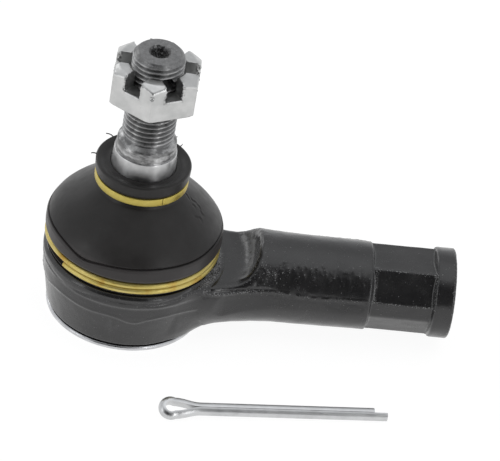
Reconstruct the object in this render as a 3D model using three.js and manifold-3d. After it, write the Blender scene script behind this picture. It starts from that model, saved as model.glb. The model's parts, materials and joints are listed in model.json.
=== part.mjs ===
// Outer tie rod end with a castle nut and a loose split pin.
// Millimetres. The origin is the centre of the cover plate's outer face, +Z runs up the
// ball stud and +X runs along the shank.
import * as THREE from 'three';
import { mergeVertices } from 'three/addons/utils/BufferGeometryUtils.js';
import Module from 'manifold-3d';

const wasm = await Module();
wasm.setup();

// ---- driving dimensions -------------------------------------------------------------
const GAP = 0.3; // clearance between neighbouring pieces

// ball joint
const BALL_R = 11;
const BALL_Z = 12;
const BALL_FLAT_DEPTH = 8; // centre of the ball to its cut-off underside
const SEAT_OUTER_R = 13.4;
const SEAT_INNER_R = BALL_R + GAP;
const SEAT_SPLIT_Z = 11.4;

// housing cup
const COVER_THICKNESS = 1.4;
const COVER_R = 18;
const COVER_DISH_R = 8; // hollow under the ball, so that it clears the plate when it swings
const COVER_DISH_Z = 0.7;
const SPIGOT_TOP_Z = 2.1;
const CUP_BOTTOM_R = 18.2;
const PARTING_Z = 14.4;
const CUP_TOP_R = 20.35;
const SHOULDER_Z = 17.6;
const BOOT_SEAT_R = 17.4; // turned collar that the boot grips
const BOOT_SEAT_TOP_Z = 21;
const MOUTH_Z = 17.2; // underside of the lip that holds the upper seat
const MOUTH_R = 10.4;
const MOUTH_TOP_R = 14.2;

// neck and shank
const SHANK_Z = 12.05;
const SHANK_END_X = 75;
const BODY_R = 10.5;
const BODY_END_R = 10.25;
const BODY_END_X = 54.9;
const COLLAR_R = 10.5;
const WRENCH_AF = 17.4;
const WRENCH_CORNER_R = 9.82; // the six corners are rounded to this radius
const WRENCH_START_X = 56.3;
const WRENCH_END_X = 69.9;
const WRENCH_SHOULDER = 1.2;
const ROD_BORE_R = 6.2; // tapping size of the M14 x 1.5 thread
const ROD_BORE_DEPTH = 34;
const SPOTFACE_R = 29.2;
const SPOTFACE_Z = 16.2;
const NECK_FLOOR_Z = 1.9;

// stud and nut
const THREAD_R = 6; // M12 x 1.25
const STUD_TOP_Z = 71.8;
const THREAD_BOTTOM_Z = 49.7;
const TAPER_TOP_Z = 45.2;
const TAPER_TOP_R = 7.15;
const TAPER_BOTTOM_Z = 32.4;
const STUD_NECK_TOP_Z = 25;
const TAPER_RATIO = 16; // 1:8 on diameter, so 1:16 on radius
const STUD_NECK_R = 5.8;
const PIN_HOLE_R = 1.6;
const PIN_HOLE_Z = 66.5;
const NUT_AF = 19;
const NUT_BOTTOM_Z = 59.6;
const NUT_HEIGHT = 9.2;
const NUT_SLOT_FLOOR_Z = 64.6;
const NUT_SLOT_WIDTH = 4.2;
const NUT_TURN = THREE.MathUtils.degToRad(-5.9); // angle of one corner from -Y

// dust boot and its rings
const RING_BOTTOM_Z = 18.4;
const RING_WIRE = 1.45;
const RING_OUTER_R = 20.3;
const BOOT_WALL = 1.5;
const BOOT_SKIRT_R = 20.47;
const BOOT_SKIRT_Z = 23.15;
const BOOT_CREASE_Z = 25.2;
const BOOT_NECK_R = 10.07;
const BOOT_NECK_Z = 35;
const BOOT_GROOVE_R = 9.55; // under the upper ring
const UPPER_RING_BOTTOM_Z = 36.35;
const UPPER_RING_TOP_Z = 38.25;
const UPPER_RING_R = 10.75;
const BOOT_LIP_Z = 41.65;
const BOOT_LIP_R = 10.95;

// split pin, 3.2 x 50
const PIN_D = 2.9;
const PIN_LENGTH = 52.7;
const PIN_SHORT_LEG = 3;
const PIN_EYE_WIDTH = 5.4;
const PIN_EYE_LENGTH = 8;
const PIN_EYE_POS = new THREE.Vector3(8.1, -39.8, 2.49);
const PIN_LEAN = THREE.MathUtils.degToRad(28); // it lies on the eye's rim, so the eye leans over
const PIN_SLOPE = THREE.MathUtils.degToRad(1.16); // and its legs slope down to their tips
const PIN_ANGLE = THREE.MathUtils.degToRad(6.9);

const ROUND = 48; // facets round a large turned face
const ROUND_SMALL = 36;

// ---- solid helpers ------------------------------------------------------------------
const v2 = (x, y) => new THREE.Vector2(x, y);

// A closed, welded geometry as a solid that can be joined and cut.
function solid(geometry) {
  const g = geometry.clone();
  g.deleteAttribute('normal');
  g.deleteAttribute('uv');
  const welded = mergeVertices(g, 1e-4);
  const mesh = new wasm.Mesh({
    numProp: 3,
    vertProperties: new Float32Array(welded.attributes.position.array),
    triVerts: new Uint32Array(welded.index.array),
  });
  return new wasm.Manifold(mesh);
}

function geometryOf(body) {
  const mesh = body.getMesh();
  const g = new THREE.BufferGeometry();
  g.setAttribute('position', new THREE.BufferAttribute(new Float32Array(mesh.vertProperties), 3));
  g.setIndex(new THREE.BufferAttribute(new Uint32Array(mesh.triVerts), 1));
  g.computeVertexNormals();
  return g;
}

// Turned shape about Z. Each point is [radius, z]; the outline closes on itself or on the axis.
function turned(points, segments = ROUND) {
  const profile = points.map(([r, z]) => v2(Math.max(r, 0), z));
  const closed = points[0][0] > 0;
  if (closed) {
    profile.push(profile[0].clone());
  }
  const g = new THREE.LatheGeometry(profile, segments);
  g.rotateX(Math.PI / 2);
  return g;
}

// The same, turned about the shank's axis. Each point is [radius, x].
function turnedOnShank(points, segments = ROUND_SMALL) {
  const g = turned(points, segments);
  g.rotateY(Math.PI / 2);
  g.translate(0, 0, SHANK_Z);
  return g;
}

function box(width, depth, height, x, y, z) {
  const g = new THREE.BoxGeometry(width, depth, height);
  g.translate(x, y, z);
  return g;
}

// Points along an arc of a circle in the [radius, z] plane, angles in degrees.
function arc(cx, cz, r, from, to, steps) {
  const points = [];
  for (let i = 0; i <= steps; i += 1) {
    const a = THREE.MathUtils.degToRad(from + ((to - from) * i) / steps);
    points.push([cx + r * Math.cos(a), cz + r * Math.sin(a)]);
  }
  return points;
}

// Points on the ball's seat at radius SEAT_INNER_R, from one height to another.
function seatArc(fromZ, toZ, steps) {
  const points = [];
  for (let i = 0; i <= steps; i += 1) {
    const z = fromZ + ((toZ - fromZ) * i) / steps;
    points.push([Math.sqrt(SEAT_INNER_R ** 2 - (z - BALL_Z) ** 2), z]);
  }
  return points;
}

// ---- housing ------------------------------------------------------------------------
// The forged cup: drafted below the parting plane, upright above it, with a turned collar on top.
function cupOutline() {
  const collarGroove = 0.8;
  return [
    [CUP_BOTTOM_R - 0.4, COVER_THICKNESS + GAP],
    [CUP_BOTTOM_R, COVER_THICKNESS + 0.8],
    [18.98, 6.9],
    [19.8, 11.6],
    [19.95, PARTING_Z - 0.5],
    [CUP_TOP_R, PARTING_Z + 0.2],
    [CUP_TOP_R, SHOULDER_Z - 0.9],
    [CUP_TOP_R - 0.8, SHOULDER_Z],
    [BOOT_SEAT_R - collarGroove, SHOULDER_Z],
    [BOOT_SEAT_R - collarGroove, SHOULDER_Z + 1.8],
    [BOOT_SEAT_R, SHOULDER_Z + 2.3],
    [BOOT_SEAT_R, BOOT_SEAT_TOP_Z - 0.5],
    [BOOT_SEAT_R - 0.5, BOOT_SEAT_TOP_Z],
  ];
}

// The cavity for the seats and the ball, narrowing to the mouth that the stud swings in.
function ballCavity() {
  return turned([
    [0, COVER_THICKNESS - 1],
    [SEAT_OUTER_R + GAP, COVER_THICKNESS - 1],
    [SEAT_OUTER_R + GAP, MOUTH_Z],
    [MOUTH_R, MOUTH_Z],
    [MOUTH_TOP_R, BOOT_SEAT_TOP_Z + 0.2],
    [MOUTH_TOP_R, BOOT_SEAT_TOP_Z + 2],
    [0, BOOT_SEAT_TOP_Z + 2],
  ]);
}

// The round bar, swelling towards the cup, up to the collar at its free end.
function shankBar() {
  const chamfer = 0.3;
  return turnedOnShank([
    [0, 8],
    [15.1, 11.6],
    [13.35, 17.4],
    [12.25, 20.8],
    [11.4, 24.7],
    [10.8, 29],
    [BODY_R, 33.8],
    [BODY_END_R, BODY_END_X],
    [BODY_END_R, WRENCH_END_X],
    [COLLAR_R, WRENCH_END_X + WRENCH_SHOULDER],
    [COLLAR_R, SHANK_END_X - chamfer],
    [COLLAR_R - chamfer, SHANK_END_X],
    [0, SHANK_END_X],
  ]);
}

// What is left of the bar between its body and its collar: six flats with rounded corners,
// and a sloped shoulder at each end.
function wrenchSection() {
  const flatToCorner = 1 / Math.cos(Math.PI / 6);
  const cornerR = (WRENCH_AF / 2) * flatToCorner;
  const shoulderR = COLLAR_R * flatToCorner;
  const low = WRENCH_START_X - WRENCH_SHOULDER;
  const high = WRENCH_END_X + WRENCH_SHOULDER;
  const margin = 0.5;
  const hexagon = turnedOnShank([
    [0, low - margin],
    [shoulderR + margin, low - margin],
    [cornerR, WRENCH_START_X],
    [cornerR, WRENCH_END_X],
    [shoulderR + margin, high + margin],
    [0, high + margin],
  ], 6);
  const round = turnedOnShank([
    [0, low],
    [COLLAR_R + 1, low],
    [WRENCH_CORNER_R, WRENCH_START_X],
    [WRENCH_CORNER_R, WRENCH_END_X],
    [COLLAR_R + 1, high],
    [0, high],
  ]);
  return solid(hexagon).intersect(solid(round));
}

// A sleeve of the wrench section's length that clears the bar down to nothing.
function wrenchGap() {
  return solid(turnedOnShank([
    [0, WRENCH_START_X - WRENCH_SHOULDER],
    [COLLAR_R + 3, WRENCH_START_X - WRENCH_SHOULDER],
    [COLLAR_R + 3, WRENCH_END_X + WRENCH_SHOULDER],
    [0, WRENCH_END_X + WRENCH_SHOULDER],
  ]));
}

// The blind hole that the tie rod screws into.
function rodBore() {
  const mouth = 1;
  const drillPoint = 3.5;
  return turnedOnShank([
    [0, SHANK_END_X - ROD_BORE_DEPTH - drillPoint],
    [ROD_BORE_R, SHANK_END_X - ROD_BORE_DEPTH],
    [ROD_BORE_R, SHANK_END_X - mouth],
    [ROD_BORE_R + mouth + 0.1, SHANK_END_X + 0.1],
    [ROD_BORE_R + mouth + 0.1, SHANK_END_X + 5],
    [0, SHANK_END_X + 5],
  ]);
}

function housing() {
  const spotface = turned([
    [0, SPOTFACE_Z],
    [SPOTFACE_R, SPOTFACE_Z],
    [SPOTFACE_R, STUD_TOP_Z],
    [0, STUD_TOP_Z],
  ]);
  const cup = turned([[0, COVER_THICKNESS + GAP], ...cupOutline(), [0, BOOT_SEAT_TOP_Z]]);
  const cutDepth = 20;
  const floor = box(60, 60, cutDepth, 20, 0, NECK_FLOOR_Z - cutDepth / 2);
  const bar = solid(shankBar());
  const wrench = bar.intersect(wrenchSection());
  const arm = bar
    .subtract(wrenchGap())
    .add(wrench)
    .subtract(solid(spotface))
    .subtract(solid(floor));
  const body = arm
    .add(solid(cup))
    .subtract(solid(ballCavity()))
    .subtract(solid(rodBore()));
  return geometryOf(body);
}

// ---- pieces inside the cup ----------------------------------------------------------
function coverPlate() {
  const edge = 0.4;
  return turned([
    [0, 0],
    [COVER_R - edge, 0],
    [COVER_R, edge],
    [COVER_R, COVER_THICKNESS - edge],
    [COVER_R - edge, COVER_THICKNESS],
    [SEAT_OUTER_R, COVER_THICKNESS],
    [SEAT_OUTER_R, SPIGOT_TOP_Z - edge],
    [SEAT_OUTER_R - edge, SPIGOT_TOP_Z],
    [COVER_DISH_R, SPIGOT_TOP_Z],
    [COVER_DISH_R, COVER_DISH_Z],
    [0, COVER_DISH_Z],
  ]);
}

// Conical spring washer that presses the lower seat against the ball.
function preloadSpring() {
  const bottom = SPIGOT_TOP_Z + GAP;
  const thickness = 0.6;
  const coning = 0.5;
  const innerR = 8.6;
  const outerR = SEAT_OUTER_R - 0.4;
  return turned([
    [innerR, bottom + coning],
    [outerR, bottom],
    [outerR, bottom + thickness],
    [innerR, bottom + coning + thickness],
  ], ROUND_SMALL);
}

function lowerBallSeat() {
  const bottom = 3.6;
  const reliefR = 8.3; // opening under the ball's cut-off face
  return turned([
    [reliefR, bottom + 0.4],
    [SEAT_OUTER_R - 1, bottom],
    [SEAT_OUTER_R, bottom + 0.7],
    [SEAT_OUTER_R, SEAT_SPLIT_Z - GAP],
    ...seatArc(SEAT_SPLIT_Z - GAP, bottom + 1, 6),
  ], ROUND_SMALL);
}

function upperBallSeat() {
  const top = MOUTH_Z - GAP;
  return turned([
    [SEAT_OUTER_R, SEAT_SPLIT_Z],
    [SEAT_OUTER_R, top],
    ...seatArc(top, SEAT_SPLIT_Z, 6),
  ], ROUND_SMALL);
}

// ---- ball stud ----------------------------------------------------------------------
function ballStud() {
  const chamfer = 1.05;
  const recessDepth = 1.2;
  const recessR = 2.6;
  const recessFloorR = 1.4;
  const taperBottomR = TAPER_TOP_R + (TAPER_TOP_Z - TAPER_BOTTOM_Z) / TAPER_RATIO;
  const neckAngle = THREE.MathUtils.radToDeg(Math.acos(STUD_NECK_R / BALL_R));
  const flatAngle = THREE.MathUtils.radToDeg(Math.asin(-BALL_FLAT_DEPTH / BALL_R));
  const body = turned([
    [0, BALL_Z - BALL_FLAT_DEPTH],
    ...arc(0, BALL_Z, BALL_R, flatAngle, neckAngle, 9),
    [STUD_NECK_R, STUD_NECK_TOP_Z],
    [taperBottomR, TAPER_BOTTOM_Z],
    [TAPER_TOP_R, TAPER_TOP_Z],
    [TAPER_TOP_R - 0.25, TAPER_TOP_Z + 0.3],
    [TAPER_TOP_R - 0.4, THREAD_BOTTOM_Z - 1.6],
    [THREAD_R - 0.6, THREAD_BOTTOM_Z - 0.6],
    [THREAD_R - 0.6, THREAD_BOTTOM_Z],
    [THREAD_R, THREAD_BOTTOM_Z + 0.6],
    [THREAD_R, STUD_TOP_Z - chamfer],
    [THREAD_R - chamfer, STUD_TOP_Z],
    [recessR, STUD_TOP_Z],
    [recessFloorR, STUD_TOP_Z - recessDepth],
    [0, STUD_TOP_Z - recessDepth],
  ], ROUND_SMALL);
  const drill = new THREE.CylinderGeometry(PIN_HOLE_R, PIN_HOLE_R, 4 * THREAD_R, 16);
  drill.rotateZ(NUT_TURN + Math.PI / 6);
  drill.translate(0, 0, PIN_HOLE_Z);
  return geometryOf(solid(body).subtract(solid(drill)));
}

// ---- castle nut ---------------------------------------------------------------------
function castleNut() {
  const cornerR = NUT_AF / 2 / Math.cos(Math.PI / 6);
  const top = NUT_BOTTOM_Z + NUT_HEIGHT;
  const crownDrop = 1.45; // chamfer on the top corners
  const cornerBreak = 0.35;
  const hexagon = new THREE.CylinderGeometry(cornerR, cornerR, NUT_HEIGHT, 6);
  hexagon.rotateX(Math.PI / 2);
  hexagon.rotateZ(NUT_TURN);
  hexagon.translate(0, 0, NUT_BOTTOM_Z + NUT_HEIGHT / 2);
  const dressed = turned([
    [0, NUT_BOTTOM_Z],
    [cornerR - cornerBreak, NUT_BOTTOM_Z],
    [cornerR + 0.1, NUT_BOTTOM_Z + cornerBreak],
    [cornerR + 0.1, top - crownDrop],
    [NUT_AF / 2 - 0.6, top],
    [0, top],
  ], ROUND_SMALL);
  const bore = turned([
    [0, NUT_BOTTOM_Z - 1],
    [THREAD_R + 1.3, NUT_BOTTOM_Z - 0.1],
    [THREAD_R + GAP, NUT_BOTTOM_Z + 0.8],
    [THREAD_R + GAP, top - 0.5],
    [THREAD_R + 0.9, top + 0.1],
    [0, top + 1],
  ], ROUND_SMALL);
  let nut = solid(hexagon).intersect(solid(dressed)).subtract(solid(bore));
  const slotHeight = top - NUT_SLOT_FLOOR_Z + 1;
  for (let i = 0; i < 3; i += 1) {
    const slot = new THREE.BoxGeometry(NUT_SLOT_WIDTH, 3 * NUT_AF, slotHeight);
    slot.rotateZ(NUT_TURN + Math.PI / 6 + (i * Math.PI) / 3);
    slot.translate(0, 0, NUT_SLOT_FLOOR_Z + slotHeight / 2);
    nut = nut.subtract(solid(slot));
  }
  return geometryOf(nut);
}

// ---- dust boot and rings ------------------------------------------------------------
// The domed rubber sleeve: a foot and grip band on the cup's collar, a skirt, a dome and a dished lip.
function dustBoot() {
  const stud = TAPER_TOP_R + (TAPER_TOP_Z - BOOT_LIP_Z) / TAPER_RATIO + GAP;
  const gripR = RING_OUTER_R - RING_WIRE - GAP;
  const ringTop = RING_BOTTOM_Z + 2 * RING_WIRE;
  const bodyInner = BOOT_SEAT_R + GAP;
  const side = (z) => {
    const t = (z - BOOT_SKIRT_Z) / (BOOT_NECK_Z - BOOT_SKIRT_Z);
    return BOOT_SKIRT_R * (BOOT_NECK_R / BOOT_SKIRT_R) ** (t * t);
  };
  const dome = (fromZ, toZ, wall, steps) => {
    const points = [];
    for (let i = 0; i <= steps; i += 1) {
      const z = fromZ + ((toZ - fromZ) * i) / steps;
      points.push([side(z) - wall, z - wall * 0.6]);
    }
    return points;
  };
  const outer = dome(BOOT_CREASE_Z + 0.4, BOOT_NECK_Z, 0, 7);
  const inner = dome(BOOT_SKIRT_Z, BOOT_NECK_Z - 0.6, BOOT_WALL, 6).reverse();
  return turned([
    [bodyInner, SHOULDER_Z + GAP],
    [CUP_TOP_R - 1.4, SHOULDER_Z + GAP],
    [CUP_TOP_R - 1.4, RING_BOTTOM_Z - GAP],
    [gripR, RING_BOTTOM_Z - GAP],
    [gripR, ringTop + GAP],
    [BOOT_SKIRT_R - 0.4, ringTop + GAP],
    [BOOT_SKIRT_R, ringTop + 0.9],
    [BOOT_SKIRT_R, BOOT_SKIRT_Z + 0.6],
    [side(BOOT_CREASE_Z) + 0.1, BOOT_CREASE_Z - 0.4],
    [side(BOOT_CREASE_Z) - 0.4, BOOT_CREASE_Z],
    ...outer,
    [BOOT_GROOVE_R, BOOT_NECK_Z + 0.5],
    [BOOT_GROOVE_R, UPPER_RING_TOP_Z + GAP],
    [BOOT_LIP_R - 0.4, UPPER_RING_TOP_Z + GAP],
    [BOOT_LIP_R, BOOT_LIP_Z - 0.3],
    [BOOT_LIP_R - 0.3, BOOT_LIP_Z],
    [9, BOOT_LIP_Z - 0.6],
    [stud, BOOT_LIP_Z - 0.45],
    [stud + 0.3, UPPER_RING_BOTTOM_Z - 0.5],
    ...inner,
    [bodyInner, BOOT_SEAT_TOP_Z],
  ]);
}

// Round wire wound twice round the boot's grip band, one turn on the other.
function lowerClampRing() {
  const r = RING_WIRE / 2;
  const middle = RING_OUTER_R - r;
  const low = RING_BOTTOM_Z + r;
  const high = low + RING_WIRE;
  const groove = 25; // where the two turns touch, degrees from the outer side
  return turned([
    ...arc(middle, low, r, -180, 90 - groove, 5),
    ...arc(middle, high, r, -90 + groove, 180, 5),
  ]);
}

function upperClampRing() {
  const inner = UPPER_RING_R - 0.9;
  const edge = 0.25;
  return turned([
    [inner, UPPER_RING_BOTTOM_Z],
    [UPPER_RING_R - edge, UPPER_RING_BOTTOM_Z],
    [UPPER_RING_R, UPPER_RING_BOTTOM_Z + edge],
    [UPPER_RING_R, UPPER_RING_TOP_Z - edge],
    [UPPER_RING_R - edge, UPPER_RING_TOP_Z],
    [inner, UPPER_RING_TOP_Z],
  ], ROUND_SMALL);
}

// ---- split pin ----------------------------------------------------------------------
// Half-round wire bent back on itself, its legs flat to flat and one of them shorter.
function splitPin() {
  const r = PIN_D / 2;
  const start = PIN_EYE_LENGTH - 1.2; // the legs run into the eye's root
  const halfRound = new THREE.Shape();
  halfRound.absarc(0, 0, r - 0.05, -Math.PI / 2, Math.PI / 2, false);
  halfRound.closePath();
  const leg = (length, side) => {
    const g = new THREE.ExtrudeGeometry(halfRound, {
      depth: length,
      bevelEnabled: false,
      curveSegments: 8,
    });
    g.rotateX(Math.PI / 2);
    g.rotateZ(Math.PI / 2);
    if (side < 0) {
      g.rotateX(Math.PI);
    }
    g.translate(start, side * 0.03, 0);
    return g;
  };
  const eyeR = PIN_EYE_WIDTH / 2;
  const eyeCentre = eyeR;
  const eye = new THREE.Shape();
  eye.absarc(eyeCentre, 0, eyeR, Math.PI / 3, -Math.PI / 3, false);
  eye.lineTo(PIN_EYE_LENGTH + 0.6, -r + 0.1);
  eye.lineTo(PIN_EYE_LENGTH + 0.6, r - 0.1);
  eye.closePath();
  const hole = new THREE.Path();
  hole.absarc(eyeCentre, 0, eyeR - r * 0.95, 0, 2 * Math.PI, true);
  eye.holes.push(hole);
  const loop = new THREE.ExtrudeGeometry(eye, {
    depth: PIN_D - 1,
    bevelEnabled: true,
    bevelThickness: 0.4,
    bevelSize: 0.3,
    bevelOffset: -0.3,
    bevelSegments: 2,
    curveSegments: 12,
  });
  loop.translate(0, 0, -(PIN_D - 1) / 2);
  const pin = solid(leg(PIN_LENGTH - start, -1))
    .add(solid(leg(PIN_LENGTH - PIN_SHORT_LEG - start, 1)))
    .add(solid(loop));
  return geometryOf(pin);
}

// ---- assembly -----------------------------------------------------------------------
const tieRodEnd = new THREE.Group();

function addPart(name, geometry, color, roughness, metalness) {
  const material = new THREE.MeshStandardMaterial({ color, roughness, metalness });
  const mesh = new THREE.Mesh(geometry, material);
  mesh.name = name;
  tieRodEnd.add(mesh);
  return mesh;
}

addPart('housing', housing(), 0x2b2c2e, 0.35, 0.3);
addPart('cover_plate', coverPlate(), 0xb9bcc0, 0.35, 0.9);
addPart('preload_spring', preloadSpring(), 0x7d8088, 0.4, 0.9);
addPart('lower_ball_seat', lowerBallSeat(), 0xd8d2c0, 0.55, 0);
addPart('upper_ball_seat', upperBallSeat(), 0xd8d2c0, 0.55, 0);
addPart('ball_stud', ballStud(), 0x9a9b9d, 0.3, 0.95);
addPart('castle_nut', castleNut(), 0xc9cbcd, 0.3, 0.9);
addPart('dust_boot', dustBoot(), 0x3a3a3c, 0.6, 0);
addPart('lower_clamp_ring', lowerClampRing(), 0xcfbd60, 0.35, 0.8);
addPart('upper_clamp_ring', upperClampRing(), 0xcfbd60, 0.35, 0.8);

const pin = addPart('split_pin', splitPin(), 0xc4c8cc, 0.25, 0.95);
pin.position.copy(PIN_EYE_POS);
pin.rotation.set(PIN_LEAN, PIN_SLOPE, PIN_ANGLE, 'ZYX');

export default tieRodEnd;
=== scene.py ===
"""The looks of an outer tie rod end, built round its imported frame.

Shapes are worked out in millimetres in the part's own frame, and turned into metres when a mesh is made.
"""

import json
import math

import bmesh
import bpy
import numpy as np
from mathutils import Euler, Matrix, Vector, noise


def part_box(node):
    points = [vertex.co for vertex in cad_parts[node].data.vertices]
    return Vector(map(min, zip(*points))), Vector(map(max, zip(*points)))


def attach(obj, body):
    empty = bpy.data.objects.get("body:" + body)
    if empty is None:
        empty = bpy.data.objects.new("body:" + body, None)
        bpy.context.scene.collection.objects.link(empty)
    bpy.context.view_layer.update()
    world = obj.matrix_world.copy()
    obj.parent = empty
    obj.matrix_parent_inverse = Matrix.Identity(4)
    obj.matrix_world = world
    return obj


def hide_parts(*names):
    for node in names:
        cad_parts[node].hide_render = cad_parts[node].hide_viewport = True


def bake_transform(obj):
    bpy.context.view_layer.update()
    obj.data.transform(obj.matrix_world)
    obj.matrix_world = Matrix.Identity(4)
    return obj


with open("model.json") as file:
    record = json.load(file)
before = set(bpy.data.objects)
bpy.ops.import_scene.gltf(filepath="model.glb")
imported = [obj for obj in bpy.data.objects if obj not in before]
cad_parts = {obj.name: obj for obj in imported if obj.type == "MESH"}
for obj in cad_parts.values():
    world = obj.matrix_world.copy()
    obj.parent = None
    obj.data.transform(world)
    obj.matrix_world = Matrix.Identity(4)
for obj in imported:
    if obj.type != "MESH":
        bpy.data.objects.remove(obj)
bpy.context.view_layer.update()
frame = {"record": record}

MM = 0.001


def node_box(name):
    """A CAD node's lowest and highest corner at rest, in millimetres."""
    low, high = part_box(name)
    return np.array(low) / MM, np.array(high) / MM


# ---- sizes that the frame gives ----
HOUSING_LOW, HOUSING_HIGH = node_box("housing")
COVER_HIGH = node_box("cover_plate")[1]
STUD_TOP = node_box("ball_stud")[1][2]
NUT_LOW, NUT_HIGH = node_box("castle_nut")
BOOT_HIGH = node_box("dust_boot")[1]
LOW_RING_LOW, LOW_RING_HIGH = node_box("lower_clamp_ring")
TOP_RING_LOW, TOP_RING_HIGH = node_box("upper_clamp_ring")
JOINTS = {j["name"]: j for j in frame["record"]["behaviour"]["joints"]}
BALL_Z = JOINTS["tilt_x"]["pos_m"][2] / MM

CUP_R = HOUSING_HIGH[1]
SHANK_END_X = HOUSING_HIGH[0]
COLLAR_R = 10.5
SHANK_R = 10.27
BORE_R = 6.2
SHANK_Z = 12.05
PARTING_Z = 14.4
SHOULDER_Z = 17.6
COLLAR_TOP_Z = 21.0
CUP_COLLAR_R = 17.4
CUP_GROOVE_R = 16.6
CAVITY_R = 13.7
SEAT_R = 13.4
COVER_RIM = 1.4
SPOTFACE_R = 29.2
SPOTFACE_Z = 16.2
BOOT_R = BOOT_HIGH[0]
BOOT_SKIRT_Z = 23.15
BOOT_CREASE_Z = 25.2
BOOT_NECK_R = 10.07
BOOT_NECK_Z = 35.0
BOOT_SPLIT_Z = 28.0
BOOT_WALL = 1.5
BOOT_FOOT_R = 18.1
NECK_GROOVE_R = 9.6
LIP_Z = BOOT_HIGH[2]
LIP_R = 10.95
BALL_R = 11.0
BALL_FOOT = 8.0
STUD_NECK_R = 5.8
THREAD_R = 6.0
THREAD_PITCH = 1.25
THREAD_DEPTH = 0.72
THREAD_BOTTOM_Z = 49.75
TAPER_TOP_Z = 45.2
TAPER_TOP_R = 7.15
NUT_AF = 19.0
NUT_SLOT_WIDTH = 4.2
NUT_SLOT_FLOOR_Z = 64.6
NUT_TURN = math.radians(-5.9)
PIN_ANGLE = math.radians(6.9)
PIN_LEAN = math.radians(28)
PIN_SLOPE = math.radians(1.16)
PIN_EYE = (8.1, -39.8, 2.49)
PIN_R = 1.45
PIN_LENGTH = 52.7
PIN_LEGS_X = 9.6
PIN_HOLE_Z = 66.5
PIN_HOLE_R = 1.6
RECESS_R = 2.6


# ---- camera ----
def make_camera():
    azimuth, elevation, roll = map(math.radians, (-6.71, 36.96, 9.62))
    aim = Vector((26.58, 0.67, 24.06)) * MM
    distance = 1001 * MM
    side, ahead = math.sin(azimuth), math.cos(azimuth)
    back = Vector((side * math.cos(elevation), -ahead * math.cos(elevation), math.sin(elevation)))
    level = Vector((ahead, side, 0))
    upright = back.cross(level)
    right = level * math.cos(roll) + upright * math.sin(roll)
    up = upright * math.cos(roll) - level * math.sin(roll)
    data = bpy.data.cameras.new("camera")
    data.sensor_width = 36
    data.lens = 314
    data.clip_start = 0.01
    data.clip_end = 20
    camera = bpy.data.objects.new("camera", data)
    turn = Matrix((right, up, back)).transposed().to_4x4()
    camera.matrix_world = Matrix.Translation(aim + back * distance) @ turn
    bpy.context.scene.collection.objects.link(camera)
    bpy.context.scene.camera = camera


make_camera()


# ---- mesh helpers ----
def make_object(name, points, faces, material):
    """A smooth-shaded mesh object from points in millimetres."""
    mesh = bpy.data.meshes.new(name)
    metres = (np.asarray(points, float) * MM).tolist()
    mesh.from_pydata(metres, [], [list(map(int, f)) for f in faces])
    mesh.validate()
    obj = bpy.data.objects.new(name, mesh)
    bpy.context.scene.collection.objects.link(obj)
    bm = bmesh.new()
    bm.from_mesh(mesh)
    bmesh.ops.recalc_face_normals(bm, faces=bm.faces)
    bm.to_mesh(mesh)
    bm.free()
    mesh.shade_smooth()
    mesh.materials.append(material)
    return obj


def places(obj):
    """Where a mesh object's points are, in millimetres."""
    return np.array([v.co for v in obj.data.vertices]) / MM


def add_value(obj, name, values):
    """Stores a number at each point, for the material to read."""
    layer = obj.data.attributes.new(name, "FLOAT", "POINT")
    layer.data.foreach_set("value", np.asarray(values, np.float32))


def sharpen(obj, degrees):
    """Marks edges steeper than an angle as sharp, so that flat faces shade flat."""
    bm = bmesh.new()
    bm.from_mesh(obj.data)
    for e in bm.edges:
        if len(e.link_faces) == 2 and e.calc_face_angle(0) > math.radians(degrees):
            e.smooth = False
    bm.to_mesh(obj.data)
    bm.free()


def revolve(rows, segments, shape=None):
    """Points and faces of a turned shape, whose rows are (radius, z).

    shape(radius, z, angles) may change a row's radii. The rows close on themselves, or on the axis
    where the first or last radius is 0.
    """
    angles = np.arange(segments) * 2 * math.pi / segments
    points, rings = [], []
    for r, z in rows:
        if r <= 1e-9:
            rings.append([len(points)])
            points.append((0, 0, z))
            continue
        radius = np.full(segments, float(r))
        if shape is not None:
            radius = shape(radius, z, angles)
        rings.append(list(range(len(points), len(points) + segments)))
        points.extend(zip(radius * np.cos(angles), radius * np.sin(angles), [z] * segments))
    closed = rows[0][0] > 1e-9
    faces = []
    count = len(rings)
    for i in range(count if closed else count - 1):
        a, b = rings[i], rings[(i + 1) % count]
        for k in range(segments):
            n = (k + 1) % segments
            if len(a) == 1:
                faces.append((a[0], b[n], b[k]))
            elif len(b) == 1:
                faces.append((a[k], a[n], b[0]))
            else:
                faces.append((a[k], a[n], b[n], b[k]))
    return np.array(points), faces


def smooth_rows(corners, radius, steps=4, spacing=0.6):
    """An outline with its corners rounded and its straight runs cut into short steps."""
    pts = [np.array(c, float) for c in corners]
    out = [pts[0]]
    for before, p, after in zip(pts[:-2], pts[1:-1], pts[2:]):
        a, b = before - p, after - p
        la, lb = np.linalg.norm(a), np.linalg.norm(b)
        cut = min(radius, la * 0.45, lb * 0.45)
        start, end = p + a / la * cut, p + b / lb * cut
        for t in np.linspace(0, 1, steps + 1):
            out.append((1 - t) ** 2 * start + 2 * t * (1 - t) * p + t * t * end)
    out.append(pts[-1])
    rows = [out[0]]
    for p, q in zip(out[:-1], out[1:]):
        n = max(1, int(np.linalg.norm(q - p) / spacing))
        for t in range(1, n + 1):
            rows.append(p + (q - p) * t / n)
    return [tuple(r) for r in rows]


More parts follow.
